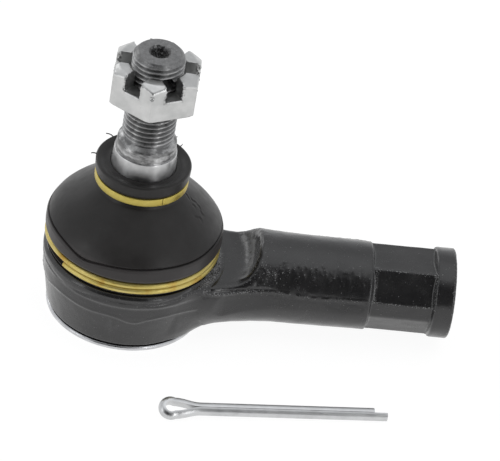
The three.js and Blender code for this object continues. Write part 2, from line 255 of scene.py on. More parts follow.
def sweep(path, section, width=None):
    """Points and faces of a section of (across, up) pairs, swept along a path of points.

    Across stays level, so the section doesn't twist. width scales it there at each point.
    """
    path = np.asarray(path, float)
    ahead = np.roll(path, -1, 0) - np.roll(path, 1, 0)
    ahead[0] = path[1] - path[0]
    ahead[-1] = path[-1] - path[-2]
    ahead /= np.linalg.norm(ahead, axis=1)[:, None]
    across = np.cross(ahead, (0, 0, 1.0))
    across /= np.linalg.norm(across, axis=1)[:, None]
    up = np.cross(across, ahead)
    width = np.ones(len(path)) if width is None else width
    points = []
    for p, a, u, w in zip(path, across, up, width):
        points.extend(p + a * s[0] * w + u * s[1] for s in section)
    return np.array(points), tube_faces(len(path), len(section))


def tube_faces(count, n):
    """Faces of a tube of count rings of n points, with both of its ends capped."""
    faces = []
    for i in range(0, (count - 1) * n, n):
        for k in range(n):
            m = (k + 1) % n
            faces.append((i + k, i + m, i + n + m, i + n + k))
    faces.append(tuple(range(n))[::-1])
    faces.append(tuple((count - 1) * n + k for k in range(n)))
    return faces


def round_section(radius, sides):
    """A circle for a sweep."""
    turns = np.arange(sides) * 2 * math.pi / sides
    return [(radius * math.cos(a), radius * math.sin(a)) for a in turns]


def merge_shells(*shells):
    """Several (points, faces) as one."""
    points, faces, base = [], [], 0
    for p, f in shells:
        points.append(np.asarray(p, float))
        faces.extend(tuple(i + base for i in face) for face in f)
        base += len(p)
    return np.vstack(points), faces


def wobble(points, size, seed):
    """Smooth noise from -1 to 1 at each point, with features of a given size in millimetres."""
    shift = Vector((seed * 7.3, seed * 3.1, seed * 5.7))
    return np.array([noise.noise(Vector(p) / size + shift) for p in points])


# ---- shapes as fields: below 0 inside, above 0 outside, in millimetres ----
def bell(value, middle, width):
    """1 at the middle, falling smoothly to 0 on both sides."""
    return np.exp(-(((value - middle) / width) ** 2))


def rise(value, start, width):
    """0 up to the start, then a straight climb to 1."""
    return np.clip((value - start) / width, 0, 1)


def fall(value, end, width):
    """A straight drop from 1 to 0, which it reaches at the end."""
    return np.clip((end - value) / width, 0, 1)


def outline_field(u, v, corners):
    """Signed distance to a closed outline in a plane."""
    best = np.full(u.shape, 1e9)
    inside = np.zeros(u.shape, bool)
    for (ax, ay), (bx, by) in zip(corners, corners[1:] + corners[:1]):
        dx, dy = bx - ax, by - ay
        t = np.clip(((u - ax) * dx + (v - ay) * dy) / (dx * dx + dy * dy + 1e-12), 0, 1)
        best = np.minimum(best, (u - ax - t * dx) ** 2 + (v - ay - t * dy) ** 2)
        if dy != 0:
            crosses = (ay > v) != (by > v)
            inside ^= crosses & (u < ax + (v - ay) * dx / dy)
    return np.where(inside, -1, 1) * np.sqrt(best)


def soft_min(a, b, reach):
    """The join of two fields with a fillet."""
    h = np.clip(0.5 + 0.5 * (b - a) / reach, 0, 1)
    return b + (a - b) * h - reach * h * (1 - h)


def soft_max(a, b, reach):
    return -soft_min(-a, -b, reach)


def crossing_sums(value, cells):
    """For each cell, how many of its edges the surface crosses, and the sum of the crossings' places."""
    inside = value < 0
    total = np.zeros((*cells, 3))
    count = np.zeros(cells)
    for axis in range(3):
        one, two = [a for a in range(3) if a != axis]
        for i, j in ((0, 0), (0, 1), (1, 0), (1, 1)):
            start, end = [slice(None)] * 3, [slice(None)] * 3
            for a, k in ((one, i), (two, j)):
                start[a] = end[a] = slice(k, k + cells[a])
            start[axis], end[axis] = slice(0, cells[axis]), slice(1, 1 + cells[axis])
            a, b = value[tuple(start)], value[tuple(end)]
            crossed = inside[tuple(start)] != inside[tuple(end)]
            count += crossed
            total[..., axis] += np.where(crossed, a / np.where(crossed, a - b, 1), 0)
            total[..., one] += i * crossed
            total[..., two] += j * crossed
    return count, total


def crossing_quads(inside, ids, axis):
    """A face round every grid edge along an axis that the surface crosses, from the four cells there."""
    one, two = (axis + 1) % 3, (axis + 2) % 3
    first = [slice(1, n) for n in ids.shape]
    second = list(first)
    first[axis] = slice(0, ids.shape[axis])
    second[axis] = slice(1, ids.shape[axis] + 1)
    a, b = inside[tuple(first)], inside[tuple(second)]
    at = np.argwhere(a != b)
    corners = []
    for step_one, step_two in ((0, 0), (1, 0), (1, 1), (0, 1)):
        cell = at.copy()
        cell[:, one] += step_one
        cell[:, two] += step_two
        corners.append(ids[tuple(cell.T)])
    quads = np.stack(corners, 1)
    turned = ~a[a != b]
    quads[turned] = quads[turned][:, ::-1]
    return quads


def contour(field, low, high, step):
    """Points and faces of the surface where a field is 0: one point for each cell that it crosses."""
    sizes = np.ceil((high - low) / step).astype(int) + 1
    axes = [start + step * np.arange(n) for start, n in zip(low, sizes)]
    value = field(*np.meshgrid(*axes, indexing="ij"))
    count, total = crossing_sums(value, sizes - 1)
    used = count > 0
    ids = np.full(count.shape, -1)
    ids[used] = np.arange(used.sum())
    points = low + step * (np.argwhere(used) + total[used] / count[used][:, None])
    for _ in range(3):
        points = settle(field, points, step * 0.2)
    return points, np.vstack([crossing_quads(value < 0, ids, axis) for axis in range(3)])


def slope_of(field, points, reach):
    slope = np.zeros_like(points)
    for axis in range(3):
        d = np.zeros(3)
        d[axis] = reach
        slope[:, axis] = field(*(points + d).T) - field(*(points - d).T)
    return slope / (2 * reach)


def outward(field, points, reach):
    """Unit directions out of a field's surface."""
    slope = slope_of(field, points, reach)
    return slope / np.maximum(np.linalg.norm(slope, axis=1), 1e-9)[:, None]


def settle(field, points, reach):
    """Moves points onto the field's surface."""
    slope = slope_of(field, points, reach)
    value = field(*points.T)
    move = -value[:, None] * slope / np.maximum((slope**2).sum(1), 0.3)[:, None]
    length = np.linalg.norm(move, axis=1)[:, None]
    return points + move * np.minimum(1, 0.3 / np.maximum(length, 1e-9))


# ---- materials ----
def rgba(value):
    """A colour with its alpha, from a colour or from one number for a grey."""
    return (value, value, value, 1) if isinstance(value, (int, float)) else (*value, 1)


class Nodes:
    """Short calls that add nodes to a tree. place is the coordinate that noise is read at."""

    def __init__(self, tree):
        self.nodes, self.links = tree.nodes, tree.links

    def feed(self, socket, value):
        """Links a node's output to a socket, or sets the socket to a number or colour."""
        if isinstance(value, bpy.types.NodeSocket):
            self.links.new(value, socket)
        else:
            socket.default_value = rgba(value) if socket.type == "RGBA" else value

    def add(self, kind, **inputs):
        """A new node with some of its inputs fed."""
        node = self.nodes.new("ShaderNode" + kind)
        for name, value in inputs.items():
            self.feed(node.inputs[name.replace("_", " ")], value)
        return node

    def noise(self, size, detail=4.0, roughness=0.55, stretch=(1, 1, 1)):
        """Noise from 0 to 1 with features of a size in millimetres, drawn out along axes of low stretch."""
        place = self.place
        if stretch != (1, 1, 1):
            place = self.add("Mapping", Vector=place, Scale=stretch).outputs["Vector"]
        node = self.add("TexNoise", Vector=place, Scale=1000 / size, Detail=detail, Roughness=roughness)
        return node.outputs["Fac"]

    def axis(self, index):
        return self.add("SeparateXYZ", Vector=self.place).outputs[index]

    def math(self, operation, a, b):
        node = self.add("Math")
        node.operation = operation
        self.feed(node.inputs[0], a)
        self.feed(node.inputs[1], b)
        return node.outputs[0]

    def times(self, a, b):
        return self.math("MULTIPLY", a, b)

    def ramp(self, source, *stops):
        """Values (position, colour or grey) along a source from 0 to 1."""
        node = self.add("ValToRGB", Fac=source)
        elements = node.color_ramp.elements
        while len(elements) < len(stops):
            elements.new(0.5)
        for element, (position, value) in zip(elements, stops):
            element.position = position
            element.color = rgba(value)
        return node.outputs["Color"]

    def mask(self, source, start, end):
        """0 where the source is below the start, 1 where it is above the end."""
        return self.ramp(source, (start, 0.0), (end, 1.0))

    def mix(self, factor, a, b):
        """Colour a where the factor is 0, and colour b where it is 1."""
        node = self.add("Mix")
        node.data_type = "RGBA"
        for index, value in ((0, factor), (6, a), (7, b)):
            self.feed(node.inputs[index], value)
        return node.outputs[2]


class Material(Nodes):
    """A material on object coordinates, or on a place that the mesh keeps at its points."""

    def __init__(self, name, kept_place=None, **sockets):
        self.material = bpy.data.materials.new(name)
        self.material.use_nodes = True
        super().__init__(self.material.node_tree)
        if kept_place:
            self.place = self.stored(kept_place, "Vector")
        else:
            self.place = self.add("TexCoord").outputs["Object"]
        self.shader = self.nodes["Principled BSDF"]
        self.height = None
        for key, value in sockets.items():
            self.set(key.replace("_", " "), value)

    def set(self, socket, value):
        self.feed(self.shader.inputs[socket], value)

    def stored(self, attribute, output="Fac"):
        """What the mesh stores at its points: a number, or a vector."""
        node = self.add("Attribute")
        node.attribute_name = attribute
        return node.outputs[output]

    def edges(self):
        """From 0 in hollows to 1 on edges."""
        return self.mask(self.add("NewGeometry").outputs["Pointiness"], 0.46, 0.54)

    def bump(self, source, millimetres):
        """Adds a height to the surface's bump."""
        node = self.add("Bump", Strength=1, Distance=millimetres * MM, Height=source)
        if self.height is not None:
            self.feed(node.inputs["Normal"], self.height)
        self.height = node.outputs["Normal"]
        self.set("Normal", self.height)


def black_paint():
    """Gloss black over a forging: nearly black, with pale flecks where the stored wear is high."""
    m = Material("black_paint", Specular_IOR_Level=0.58)
    wear = m.stored("wear")
    tone = m.ramp(m.noise(9, 3), (0.3, (0.012, 0.0117, 0.0122)), (0.7, (0.019, 0.0184, 0.0188)))
    fleck = m.mask(m.math("ADD", m.noise(0.3, 2, 0.5), m.times(wear, 0.17)), 0.70, 0.76)
    scuff = m.mask(m.noise(2.2, 6, 0.68, stretch=(1.0, 1.0, 0.35)), 0.60, 0.74)
    dusty = m.mix(m.times(scuff, 0.30), tone, (0.075, 0.075, 0.078))
    m.set("Base Color", m.mix(m.times(fleck, 0.75), dusty, 0.24))
    gloss = m.ramp(m.noise(3.0, 4), (0.3, 0.16), (0.72, 0.30))
    m.set("Roughness", m.mix(m.times(scuff, 0.6), gloss, 0.46))
    m.bump(m.noise(0.5, 5, 0.6), 0.010)
    m.bump(m.noise(2.2, 4), 0.035)
    m.bump(m.times(m.noise(0.4, 3), wear), 0.12)
    return m.material


def turned_steel(name, tint, roughness, ring=0.12):
    """Bare steel with fine marks round the Z axis and a little staining."""
    m = Material(name, Metallic=1.0)
    marks = m.noise(ring, 3, 0.7, stretch=(0.06, 0.06, 1.0))
    dark = tuple(c * 0.72 for c in tint)
    bright = tuple(c * 1.15 for c in tint)
    tone = m.ramp(m.noise(3.5, 5, 0.6), (0.3, dark), (0.62, tint))
    m.set("Base Color", m.mix(m.times(m.edges(), 0.24), tone, bright))
    m.set("Roughness", m.ramp(m.noise(1.6, 5), (0.3, roughness * 0.75), (0.7, roughness * 1.35)))
    m.bump(marks, 0.012)
    m.bump(m.noise(0.5, 3), 0.006)
    return m.material


def stud_tone(m, height, scuffs, above):
    """Bright on the taper, dark and oily on the thread, and nearly black in the end's recess, where painted
    shade with a gritty speckle stands for the hole's darkness.
    """
    threaded = m.math("GREATER_THAN", height, (THREAD_BOTTOM_Z - 0.9) * MM)
    face = m.math("GREATER_THAN", height, (STUD_TOP - 0.06) * MM)
    blotch = m.mask(m.noise(2.2, 4, 0.6, stretch=(0.5, 0.5, 1.5)), 0.44, 0.60)
    polished = m.ramp(m.noise(2.5, 4), (0.3, 0.52), (0.7, 0.64))
    turned = m.mix(blotch, 0.17, m.ramp(scuffs, (0.35, 0.36), (0.65, 0.62)))
    rubbed = m.times(m.stored("crest"), m.ramp(m.noise(0.7, 4), (0.35, 0.4), (0.6, 1.0)))
    glints = m.ramp(m.noise(0.22, 2), (0.66, 0.0), (0.72, 0.6))
    oily = m.mix(glints, m.ramp(scuffs, (0.3, 0.13), (0.7, 0.27)), 0.5)
    thread = m.mix(rubbed, oily, 0.46)
    tone = m.mix(above, polished, m.mix(threaded, turned, thread))
    tone = m.mix(face, tone, m.mix(glints, m.ramp(scuffs, (0.3, 0.16), (0.7, 0.28)), 0.6))
    # painted shade for the end's recess: nearly black with a gritty speckle, laid over the tone where the
    # stored recess value is high
    grit_and_painted_shade = m.ramp(m.noise(0.3, 2), (0.5, 0.012), (0.72, 0.12))
    return m.mix(m.stored("recess"), tone, grit_and_painted_shade)


def stud_steel():
    """Turned steel with its highlights drawn out round the axis."""
    m = Material("stud_steel", Metallic=1.0, Anisotropic=0.8, Anisotropic_Rotation=0.25)
    tangent = m.add("Tangent")
    tangent.direction_type = "RADIAL"
    tangent.axis = "Z"
    m.set("Tangent", tangent.outputs["Tangent"])
    height = m.axis(2)
    scuffs = m.noise(1.0, 6, 0.65)
    above = m.math("GREATER_THAN", height, TAPER_TOP_Z * MM)
    m.set("Base Color", stud_tone(m, height, scuffs, above))
    rough = m.ramp(scuffs, (0.3, 0.30), (0.7, 0.50))
    smooth = m.ramp(m.noise(1.8, 4), (0.3, 0.30), (0.7, 0.38))
    m.set("Roughness", m.mix(above, smooth, rough))
    m.bump(m.noise(0.16, 4, 0.7, stretch=(0.05, 0.05, 1.0)), 0.010)
    m.bump(m.noise(0.35, 4), 0.008)
    return m.material


def nut_zinc():
    """Bright zinc plate, clouded, with darker grazes and mottled burrs along the slots."""
    m = Material("nut_zinc", Metallic=1.0)
    tone = m.ramp(m.noise(4, 5, 0.6), (0.3, (0.45, 0.455, 0.45)), (0.65, (0.57, 0.57, 0.565)))
    tone = m.mix(m.times(m.mask(m.noise(0.7, 6, 0.7), 0.62, 0.75), 0.35), tone, 0.34)
    dirt = m.ramp(m.noise(0.35, 3), (0.4, 0.05), (0.6, 0.50))
    m.set("Base Color", m.mix(m.stored("wear"), tone, dirt))
    m.set("Roughness", m.ramp(m.noise(1.3, 5), (0.3, 0.30), (0.7, 0.44)))
    m.bump(m.noise(0.6, 5), 0.012)
    m.bump(m.noise(0.14, 3, 0.6, stretch=(1, 1, 0.12)), 0.005)
    return m.material


def boot_rubber():
    """Satin black rubber with dust in places and a paler skirt."""
    m = Material("boot_rubber", kept_place="rest_place", Specular_IOR_Level=0.28)
    tone = m.ramp(m.noise(7, 4), (0.3, (0.0150, 0.0140, 0.0135)), (0.7, (0.0230, 0.0214, 0.0208)))
    top = BOOT_CREASE_Z * MM * 10
    skirt = m.ramp(m.times(m.axis(2), 10), (0.19, 1.0), (top, 1.0), (top + 0.004, 0.0))
    tone = m.mix(m.times(skirt, 0.55), tone, (0.045, 0.040, 0.040))
    dust = m.times(m.mask(m.noise(0.5, 4, 0.6), 0.69, 0.76), m.mask(m.noise(6, 3), 0.46, 0.7))
    m.set("Base Color", m.mix(m.times(dust, 0.5), tone, 0.14))
    m.set("Roughness", m.ramp(m.noise(2.2, 4), (0.3, 0.36), (0.7, 0.46)))
    m.bump(m.noise(0.25, 3), 0.006)
    m.bump(m.noise(1.6, 4), 0.016)
    return m.material


def yellow_zinc(name, tint):
    """Yellow passivated wire: the tint drifts along the ring, and marks run round it."""
    m = Material(name, Metallic=0.75)
    pale = (tint[0] * 1.12, tint[1] * 1.14, tint[2] * 1.5)
    brown = (tint[0] * 0.82, tint[1] * 0.62, tint[2] * 0.35)
    tone = m.ramp(m.noise(5, 4, 0.6), (0.28, brown), (0.45, tint), (0.75, pale))
    stain = m.times(m.mask(m.noise(0.8, 5, 0.65), 0.60, 0.74), 0.4)
    m.set("Base Color", m.mix(stain, tone, (tint[0] * 0.5, tint[1] * 0.36, 0.04)))
    m.set("Roughness", m.ramp(m.noise(0.9, 4), (0.3, 0.34), (0.7, 0.5)))
    m.bump(m.noise(0.3, 4, stretch=(0.3, 0.3, 1)), 0.008)
    return m.material


def pin_steel():
    """Bright drawn wire, with faint marks along its length."""
    m = Material("pin_steel", Metallic=1.0)
    m.set("Base Color", m.ramp(m.noise(3, 5), (0.3, (0.50, 0.505, 0.51)), (0.68, (0.61, 0.615, 0.62))))
    m.set("Roughness", m.ramp(m.noise(1.2, 5), (0.3, 0.28), (0.7, 0.38)))
    m.bump(m.noise(0.3, 3, stretch=(0.05, 1, 1)), 0.003)
    return m.material


def seat_plastic():
    m = Material("seat_plastic", Roughness=0.5)
    m.set("Base Color", m.ramp(m.noise(4), (0.3, (0.70, 0.66, 0.56)), (0.7, (0.80, 0.77, 0.68))))
    m.bump(m.noise(0.4, 3), 0.01)
    return m.material


def pale_floor():
    """A white table that also glows, so that shadows on it stay faint."""
    m = Material("pale_floor", Roughness=0.9, Specular_IOR_Level=0.1)
    m.set("Emission Color", 1)
    m.set("Emission Strength", 0.93)
    m.set("Base Color", m.ramp(m.noise(160, 2), (0.3, 0.12), (0.7, 0.125)))
    return m.material


# ---- housing ----
CUP_OUTLINE = [
    (0.0, COVER_RIM + 0.3), (17.8, COVER_RIM + 0.3), (18.2, COVER_RIM + 0.8), (18.98, 6.9), (19.75, 11.0),
    (19.95, PARTING_Z - 0.5), (CUP_R - 0.03, PARTING_Z + 0.2), (CUP_R - 0.03, SHOULDER_Z - 0.9),
    (CUP_R - 0.75, SHOULDER_Z), (CUP_GROOVE_R, SHOULDER_Z), (CUP_GROOVE_R, SHOULDER_Z + 1.8),
    (CUP_COLLAR_R, SHOULDER_Z + 2.3), (CUP_COLLAR_R, COLLAR_TOP_Z - 0.5), (CUP_COLLAR_R - 0.5, COLLAR_TOP_Z),
    (0.0, COLLAR_TOP_Z),
]
CAVITY_OUTLINE = [
    (-1.0, 0.0), (CAVITY_R, 0.0), (CAVITY_R, 17.2), (10.4, 17.2), (14.2, COLLAR_TOP_Z + 0.2),
    (14.2, COLLAR_TOP_Z + 4), (-1.0, COLLAR_TOP_Z + 4),
]
BAR_OUTLINE = [
    (0.0, 6.0), (15.1, 11.6), (13.35, 17.4), (12.25, 20.8), (11.4, 24.7), (10.85, 29.0), (10.5, 33.8),
    (SHANK_R, 54.9), (SHANK_R, 69.9), (COLLAR_R, 71.1), (COLLAR_R, SHANK_END_X - 0.3),
    (COLLAR_R - 0.3, SHANK_END_X), (0.0, SHANK_END_X),
]
BORE_OUTLINE = [
    (-1.0, SHANK_END_X - 37.5), (0.0, SHANK_END_X - 37.5), (BORE_R, SHANK_END_X - 34),
    (BORE_R, SHANK_END_X - 1), (7.3, SHANK_END_X + 0.1), (7.3, SHANK_END_X + 3), (-1.0, SHANK_END_X + 3),
]
WRENCH_X = (56.5, 69.9)
WRENCH_HALF = 8.7
WRENCH_TRIM = 8.95
ROD_PITCH = 1.5


def wrench_limit(x, y, z, across):
    """What the six flats, the trimmed sides and the turned cone at each end of them leave of the bar."""
    apart = np.full(x.shape, -1e9)
    for k in range(3):
        a = math.radians(90 + 60 * k)
        apart = np.maximum(apart, np.abs(y * math.cos(a) + (z - SHANK_Z) * math.sin(a)))
    flats = soft_max(apart - WRENCH_HALF, np.abs(y) - WRENCH_TRIM, 0.3)
    steep, scale = 2.4, 0.38
    near_cone = (across - WRENCH_HALF - steep * (WRENCH_X[0] - 0.35 - x)) * scale
    far_cone = (across - WRENCH_HALF - steep * (x - WRENCH_X[1])) * scale
    return soft_min(flats, np.minimum(near_cone, far_cone), 0.25)


def parting_height(x, y):
    """Height of the trimmed seam's upper edge, which falls round the cup from the neck to the far side."""
    on_cup = 1 / (1 + np.exp((np.hypot(x, y) - 21.5) / 0.5))
    turn = np.arctan2(-x, np.abs(y))
    cup = 15.7 - 0.9 * turn + 0.45 * np.sin(5.3 * turn + 0.6)
    arm = 14.75 + 0.45 * np.sin((x - 24) / 4.6) * bell(x, 31, 15)
    return arm + (cup - arm) * on_cup


def trim_face(x, y, z):
    """The flat left where the flash was sheared off the arm: a chord from the seam to below the middle."""
    radii, along = zip(*BAR_OUTLINE[1:9])
    bar = np.interp(x, along, radii)
    low = np.radians(-5.5 - 22 * bell(x, 15, 12))
    top_z = parting_height(x, y) - SHANK_Z
    top_y = np.sqrt(np.maximum(bar**2 - top_z**2, 1))
    low_z, low_y = bar * np.sin(low), bar * np.cos(low)
    line = top_y + (low_y - top_y) * (top_z - (z - SHANK_Z)) / (top_z - low_z)
    return np.abs(y) - line - 1.2 * (fall(x, 22, 5) + rise(x, WRENCH_X[0] - 2, 1.5))


def arm_field(x, y, z):
    """Neck, round shank, wrench flats and collar, with the neck's top spot-faced round the cup's axis."""
    across = np.hypot(y, z - SHANK_Z)
    arm = soft_max(outline_field(across, x, BAR_OUTLINE), wrench_limit(x, y, z, across), 0.2)
    arm = soft_max(arm, trim_face(x, y, z), 0.06)
    spotface = soft_max(np.hypot(x, y) - SPOTFACE_R, SPOTFACE_Z - z, 5.5)
    arm = soft_max(arm, -spotface, 1.6)
    return soft_max(arm, 1.9 - z - 3 * rise(x, 27, 8), 2.5)


def bore_field(x, y, z):
    """The shank's bore, with its thread."""
    turn = np.arctan2(z - SHANK_Z, y) / (2 * math.pi)
    groove = np.abs((x / ROD_PITCH + turn) % 1 - 0.5) * 2
    deep = rise(x, SHANK_END_X - 32, 2) * fall(x, SHANK_END_X - 0.8, 0.8)
    bore = outline_field(np.hypot(y, z - SHANK_Z), x, BORE_OUTLINE)
    return bore - 0.75 * deep * np.clip(groove * 1.25 - 0.25, 0, 1)


def housing_field(x, y, z):
    around = np.hypot(x, y)
    cup = outline_field(around, z, CUP_OUTLINE)
    body = soft_min(arm_field(x, y, z), cup, 1.5 + 2.4 * fall(z, 10, 6))
    body = soft_max(body, COVER_RIM + 0.2 - z, 0.3)
    outer = rise(around, 20.8, 1.5) * fall(x, SHANK_END_X - 18, 3)
    body = body - bell(z, parting_height(x, y), 0.3) * outer * (0.06 + 0.22 * bell(x, 21, 5))
    beside_collar = np.maximum(np.maximum(around - CUP_R - 0.6, CUP_GROOVE_R - around), SHOULDER_Z - z)
    body = soft_max(body, -np.maximum(beside_collar, -cup), 0.3)
    body = soft_max(body, -outline_field(around, z, CAVITY_OUTLINE), 0.25)
    return soft_max(body, -bore_field(x, y, z), 0.15)


def lower_seam(x, y):
    """Height of the crease round the lower part of the cup."""
    turn = np.arctan2(-x, np.abs(y))
    dip = bell(turn, -0.05, 0.16) + bell(turn, 1.32, 0.2)
    return 11.15 - 1.3 * dip + 0.15 * np.sin(turn * 9)


def forging_zones(points):
    """How strongly each kind of mark shows at each point of the forging."""
    x, y, z = points.T
    around = np.hypot(x, y)
    across = np.hypot(y, z - SHANK_Z)
    tilt = np.degrees(np.arctan2(z - SHANK_Z, np.abs(y)))
    seam = parting_height(x, y)
    on_cup = (around < CUP_R + 0.7) & (x < 19)
    skin = ((around > 17.6) & (z < SHOULDER_Z + 0.3)) | ((x > 20.4) & (across > 8.2))
    on_floor = (z > SPOTFACE_Z - 0.5) & (around < SPOTFACE_R - 0.8) & (around > 21)
    streaks = np.maximum(wobble(points * np.array([1.9, 0.8, 0.45]), 0.95, 4) - 0.08, 0)
    corners = bell(tilt, 60, 2.2) + bell(tilt, 12, 2.6)
    ends = bell(x, WRENCH_X[0], 0.35) + bell(x, WRENCH_X[1] + 0.5, 0.35)
    on_flats = (x > WRENCH_X[0] - 0.6) & (x < WRENCH_X[1] + 0.9)
    return {
        "on_cup": on_cup,
        "outside": skin & (x < SHANK_END_X - 0.3),
        "quiet": np.where(on_floor, 0.5, 1.0),
        "strokes": streaks * bell(tilt, 47, 15) * rise(x, 27, 4) * fall(x, 56.5, 2),
        "wall": bell(around, SPOTFACE_R - 0.8, 2.6) * (x > 20) * (z > SPOTFACE_Z - 1),
        "ragged": bell(z, seam, 0.4) * rise(x, 10, 6) * fall(x, 56, 3),
        "upper": bell(z, seam, 0.42) * on_cup,
        "undercut": bell(z, seam + 0.45, 0.3) * rise(x, 6, 5) * fall(x, 34, 6),
        "above_seam": z > seam,
        "below": z - lower_seam(x, y),
        "rough_corner": bell(x, 32, 3.4) * bell(tilt, 38, 22),
        "rim": rise(x, SHANK_END_X - 0.9, 0.5) * rise(across, COLLAR_R - 0.7, 0.4),
        "rubbed": on_flats * np.clip(corners + ends * (np.abs(tilt - 36) < 27), 0, 1),
    }


def skin_height(points, zone):
    """Forging scale: faint waves all over, streaks on the upper shank, creases round the cup."""
    height = wobble(points, 8.0, 1) * 0.07 + wobble(points, 2.8, 2) * 0.036 + wobble(points, 1.1, 3) * 0.013
    height += zone["strokes"] * 0.16
    height += (wobble(points, 0.8, 5) * 0.09 + wobble(points, 1.7, 10) * 0.13) * zone["wall"]
    height += (wobble(points, 0.9, 6) + 0.6 * wobble(points, 0.45, 7)) * 0.13 * zone["ragged"]
    notch = 0.20 * zone["upper"] * (1 + wobble(points, 3.0, 8)) + 0.10 * zone["above_seam"]
    height -= notch * zone["on_cup"]
    height -= 0.4 * zone["undercut"] * (1 + 0.7 * wobble(points, 2.5, 15))
    crease = 0.15 * bell(zone["below"], 0, 0.28) - 0.13 / (1 + np.exp(zone["below"] / 0.12))
    height += crease * zone["on_cup"]
    return height * zone["quiet"] * zone["outside"]


def paint_wear(points, zone):
    """How worn the paint is: along the seam, on streaks, and on the flats' and collar's edges."""
    x = points[:, 0]
    worn = zone["ragged"] * (0.5 + 0.9 * bell(x, 23, 6))
    worn += 0.45 * zone["rough_corner"] + 1.3 * zone["strokes"] + 0.5 * zone["upper"] * bell(x, 5, 9)
    worn += 0.2 * zone["wall"] + 0.8 * zone["rubbed"]
    return np.clip(worn * zone["outside"] + 0.7 * zone["rim"], 0, 1)


def make_housing():
    step = 0.36
    points, faces = contour(housing_field, HOUSING_LOW - 0.9, HOUSING_HIGH + 0.9, step)
    zone = forging_zones(points)
    wear = paint_wear(points, zone)
    points = points + outward(housing_field, points, 0.15) * skin_height(points, zone)[:, None]
    points = np.clip(points, HOUSING_LOW - 0.2, HOUSING_HIGH + 0.2)
    body = make_object("forged_housing", points, faces, black_paint())
    add_value(body, "wear", wear)
    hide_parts("housing")
    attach(body, "housing")


# ---- pieces inside and under the cup ----
def make_turned(name, corners, material, node, radius=0.2, segments=160, closed=True):
    """A turned piece with rounded corners that stands for one CAD node and stays in the housing."""
    rows = smooth_rows(corners + corners[:1], radius)[:-1] if closed else smooth_rows(corners, radius)
    points, faces = revolve(rows, segments)
    obj = make_object(name, points, faces, material)
    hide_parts(node)
    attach(obj, "housing")


def seat_rows(from_z, to_z, steps):
    """A run down the ball's side with a little room round it."""
    around = BALL_R + 0.3
    return [(math.sqrt(around**2 - (z - BALL_Z) ** 2), z) for z in np.linspace(from_z, to_z, steps)]


def make_inner_pieces():
    rim = COVER_HIGH[0]
    plate = [
        (0, 0), (14.9, 0), (15.3, 0.12), (rim - 0.4, 0.12), (rim, 0.5), (rim, 1.1), (rim - 0.3, COVER_RIM),
        (SEAT_R, COVER_RIM), (SEAT_R, 1.9), (SEAT_R - 0.3, 2.1), (8, 2.1), (8, 0.7), (0, 0.7),
    ]
    bare = turned_steel("bare_steel", (0.60, 0.605, 0.62), 0.3, 0.3)
    make_turned("pressed_cover_plate", plate, bare, "cover_plate", 0.15, 220, closed=False)
    spring = [(8.6, 2.9), (13.0, 2.4), (13.0, 3.0), (8.6, 3.5)]
    hard = turned_steel("spring_steel", (0.42, 0.43, 0.47), 0.32)
    make_turned("spring_washer", spring, hard, "preload_spring", 0.15)
    plastic = seat_plastic()
    lower = [(8.3, 4.0), (12.4, 3.6), (SEAT_R, 4.3), (SEAT_R, 11.1), *seat_rows(11.1, 4.6, 14)]
    make_turned("pressure_seat", lower, plastic, "lower_ball_seat")
    upper = [(SEAT_R, 11.4), (SEAT_R, 16.9), *seat_rows(16.9, 11.4, 12)]
    make_turned("bearing_seat", upper, plastic, "upper_ball_seat")


# ---- ball stud ----
def thread_profile(phase):
    """Depth of a 60 degree thread, from 0 on its crest at phase 0 to 1 in its root."""
    return rise(np.abs((phase + 0.5) % 1 - 0.5) * 2, 0.12, 0.70)


def stud_shape(radius, z, angles):
    """Cuts the helical thread into the rows between the thread's two ends."""
    if THREAD_BOTTOM_Z < z < STUD_TOP - 0.2 and radius[0] > 4.8:
        phase = z / THREAD_PITCH - angles / (2 * math.pi)
        fade = min(1, (z - THREAD_BOTTOM_Z) / 0.9)
        radius = np.minimum(radius, THREAD_R - THREAD_DEPTH * thread_profile(phase) * fade)
    return radius


def stud_rows():
    """The outline from the ball's flat foot, up the taper and thread, to the bottom of the end's recess."""
    low, high = math.asin(-BALL_FOOT / BALL_R), math.acos(STUD_NECK_R / BALL_R)
    ball = [(BALL_R * math.cos(a), BALL_Z + BALL_R * math.sin(a)) for a in np.linspace(low, high, 40)]
    top, taper = STUD_TOP, TAPER_TOP_R + (TAPER_TOP_Z - 32.4) / 16
    rows = [(0, BALL_Z - BALL_FOOT), (4, BALL_Z - BALL_FOOT), *ball]
    rows += smooth_rows([
        (STUD_NECK_R, 22.0), (STUD_NECK_R, 25.0), (taper, 32.4), (TAPER_TOP_R, TAPER_TOP_Z),
        (TAPER_TOP_R - 0.28, TAPER_TOP_Z + 0.15), (TAPER_TOP_R - 0.38, 47.95), (5.35, 49.05),
        (5.3, THREAD_BOTTOM_Z),
    ], 0.25, 3, 0.45)
    rows += [(THREAD_R, z) for z in np.arange(THREAD_BOTTOM_Z + 0.1, top - 1.0, 0.09)]
    rows += smooth_rows([(THREAD_R, top - 1.05), (THREAD_R - 1.05, top), (RECESS_R, top)], 0.2, 3, 0.12)
    recess = [(RECESS_R - 0.1, top - 0.12), (1.7, top - 0.9), (0.8, top - 1.2), (0, top - 1.25)]
    return rows + smooth_rows(recess, 0.3, 3, 0.18)


def make_stud():
    points, faces = revolve(stud_rows(), 168, stud_shape)
    radius = np.hypot(points[:, 0], points[:, 1])
    pit = (points[:, 2] > STUD_TOP - 1.6) & (radius < RECESS_R - 0.05)
    rough = points[pit, 2] + wobble(points[pit], 0.55, 9) * 0.35
    points[pit, 2] = np.minimum(rough, STUD_TOP - 0.1)
    stud = make_object("threaded_ball_stud", points, faces, stud_steel())
    drill_across(stud)
    x, y, z = places(stud).T
    radius = np.hypot(x, y)
    # recess: where painted shade darkens the end's recess, fully in its middle and fading out towards its
    # rim
    add_value(stud, "recess", fall(radius, RECESS_R + 0.08, 0.8) * (z > STUD_TOP - 2))
    add_value(stud, "crest", rise(radius, THREAD_R - 0.2, 0.14))
    sharpen(stud, 50)
    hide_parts("ball_stud")
    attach(stud, "stud")


